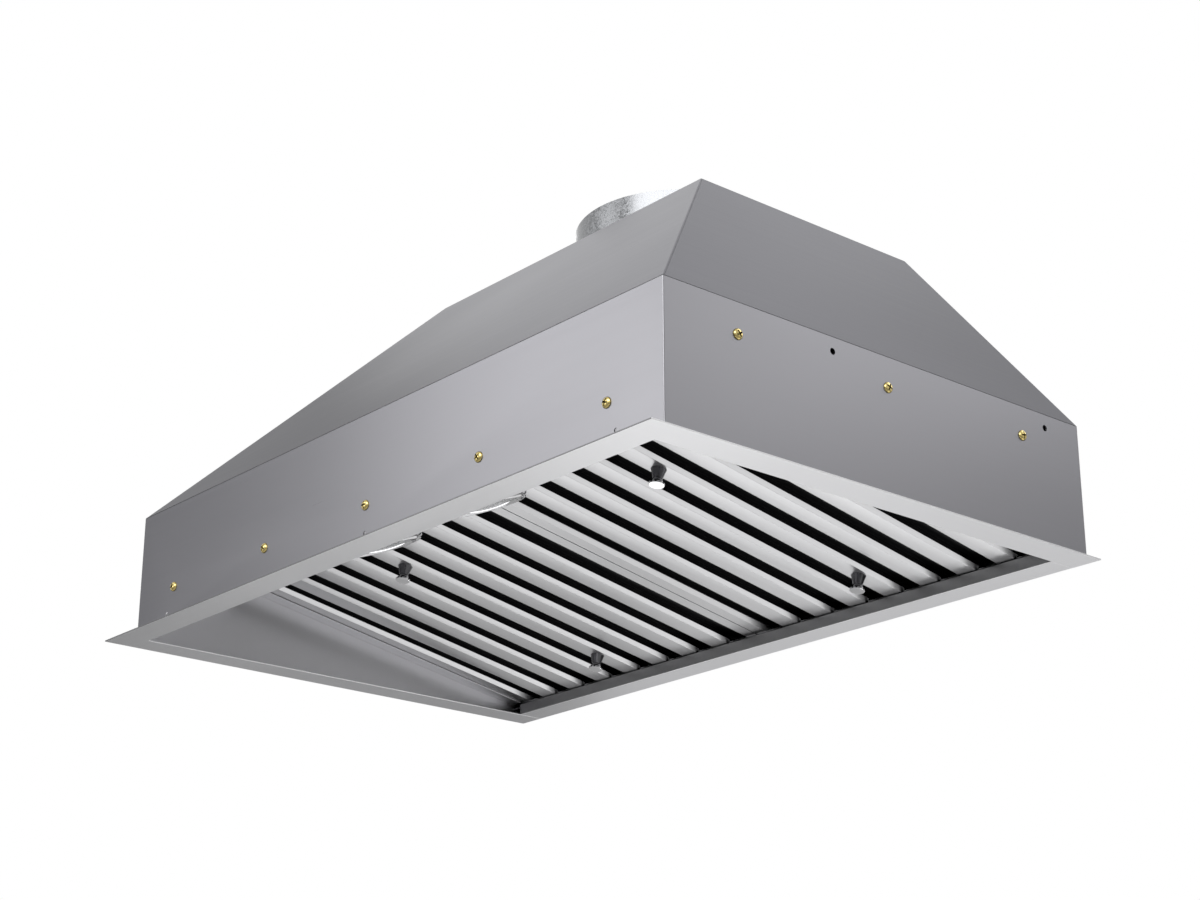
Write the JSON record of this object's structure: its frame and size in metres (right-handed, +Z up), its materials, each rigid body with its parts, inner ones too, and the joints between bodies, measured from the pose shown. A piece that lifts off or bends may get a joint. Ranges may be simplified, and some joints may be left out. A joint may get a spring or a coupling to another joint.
{
  "type": "range hood insert",
  "caption": "Stainless range hood insert: trim flange round a folded box, sloped canopy, two lift-out baffle filters, lamps and buttons, blower, and round duct collar with damper.",
  "frame": {"origin": "middle of the underside of the trim flange", "axes": "+X to the right seen from the front, -Y the front, +Z up towards the duct"},
  "size_m": [0.762, 0.5, 0.398],
  "materials": {
    "body_steel": "fine satin",
    "flange_steel": "fine satin",
    "filter_steel": "bright satin",
    "channel_steel": "dark satin, in shadow",
    "galvanised_steel": "zinc spangle",
    "brass_plated": "yellow plated",
    "chrome": "polished",
    "lens_glass": "frosted",
    "white_board": "matt",
    "white_plastic": "matt",
    "black_plastic": "matt",
    "button_steel": "satin",
    "motor_paint": "black satin",
    "cast_hub": "cast",
    "shaft_steel": "ground",
    "rubber": "matt"
  },
  "bodies": {
    "hood": {"trim_frame": "flange_steel", "trim_rear": "flange_steel", "front_panel": "body_steel", "left_panel": "body_steel", "right_panel": "body_steel", "rear_panel": "body_steel", "canopy_front": "body_steel", "canopy_left": "body_steel", "canopy_right": "body_steel", "canopy_top": "body_steel", "control_panel": "body_steel", "filter_rail_front": "galvanised_steel", "filter_rail_rear": "galvanised_steel", "filler_left": "body_steel", "filler_right": "body_steel", "front_screws": "brass_plated", "side_screws": "brass_plated", "collar_screws": "brass_plated", "lamp_bezels": "chrome", "lamp_cans": "galvanised_steel", "lamp_lenses": "lens_glass", "led_boards": "white_board", "lamp_driver": "white_plastic", "switch_block": "black_plastic", "duct_collar": "galvanised_steel", "damper_rod": "galvanised_steel", "blower_wrap": "galvanised_steel", "blower_side_left": "galvanised_steel", "blower_side_right": "galvanised_steel", "inlet_rings": "galvanised_steel", "motor_housing": "motor_paint", "motor_bracket": "galvanised_steel", "run_capacitor": "white_plastic", "junction_box": "galvanised_steel", "junction_cover": "galvanised_steel", "cable_bushing": "rubber"},
    "filter_left": {"filter_left_frame": "filter_steel", "filter_left_strips": "filter_steel", "filter_left_channels": "channel_steel", "knob_left_front": "chrome", "knob_left_rear": "chrome", "knob_left_screws": "shaft_steel"},
    "filter_right": {"filter_right_frame": "filter_steel", "filter_right_strips": "filter_steel", "filter_right_channels": "channel_steel", "knob_right_front": "chrome", "knob_right_rear": "chrome", "knob_right_screws": "shaft_steel"},
    "fan": {"fan_disc": "galvanised_steel", "fan_blades": "galvanised_steel", "fan_rings": "galvanised_steel", "fan_hub": "cast_hub", "motor_shaft": "shaft_steel"},
    "damper_front": {"damper_flap_front": "galvanised_steel"},
    "damper_rear": {"damper_flap_rear": "galvanised_steel"},
    "button_1": {"button_1": "button_steel"},
    "button_2": {"button_2": "button_steel"},
    "button_3": {"button_3": "button_steel"},
    "button_4": {"button_4": "button_steel"}
  },
  "joints": [
    {"name": "filter_left_lift", "type": "slide", "parent": "hood", "child": "filter_left", "axis": [0, -0.9829, 0.184], "range_m": [0, 0.018]},
    {"name": "filter_right_lift", "type": "slide", "parent": "hood", "child": "filter_right", "axis": [0, -0.9829, 0.184], "range_m": [0, 0.018]},
    {"name": "fan_spin", "type": "hinge", "parent": "hood", "child": "fan", "pos_m": [0, 0.133, 0.195], "axis": [1, 0, 0], "continuous": true},
    {"name": "damper_front_open", "type": "hinge", "parent": "hood", "child": "damper_front", "pos_m": [0, 0.133, 0.352], "axis": [-1, 0, 0], "range_deg": [0, 75]},
    {"name": "damper_rear_open", "type": "hinge", "parent": "hood", "child": "damper_rear", "pos_m": [0, 0.133, 0.352], "axis": [1, 0, 0], "range_deg": [0, 75]},
    {"name": "button_1_press", "type": "slide", "parent": "hood", "child": "button_1", "axis": [0, -0.3417, 0.9398], "range_m": [0, 0.0025], "stiffness_N_per_m": 400},
    {"name": "button_2_press", "type": "slide", "parent": "hood", "child": "button_2", "axis": [0, -0.3417, 0.9398], "range_m": [0, 0.0025], "stiffness_N_per_m": 400},
    {"name": "button_3_press", "type": "slide", "parent": "hood", "child": "button_3", "axis": [0, -0.3417, 0.9398], "range_m": [0, 0.0025], "stiffness_N_per_m": 400},
    {"name": "button_4_press", "type": "slide", "parent": "hood", "child": "button_4", "axis": [0, -0.3417, 0.9398], "range_m": [0, 0.0025], "stiffness_N_per_m": 400}
  ]
}
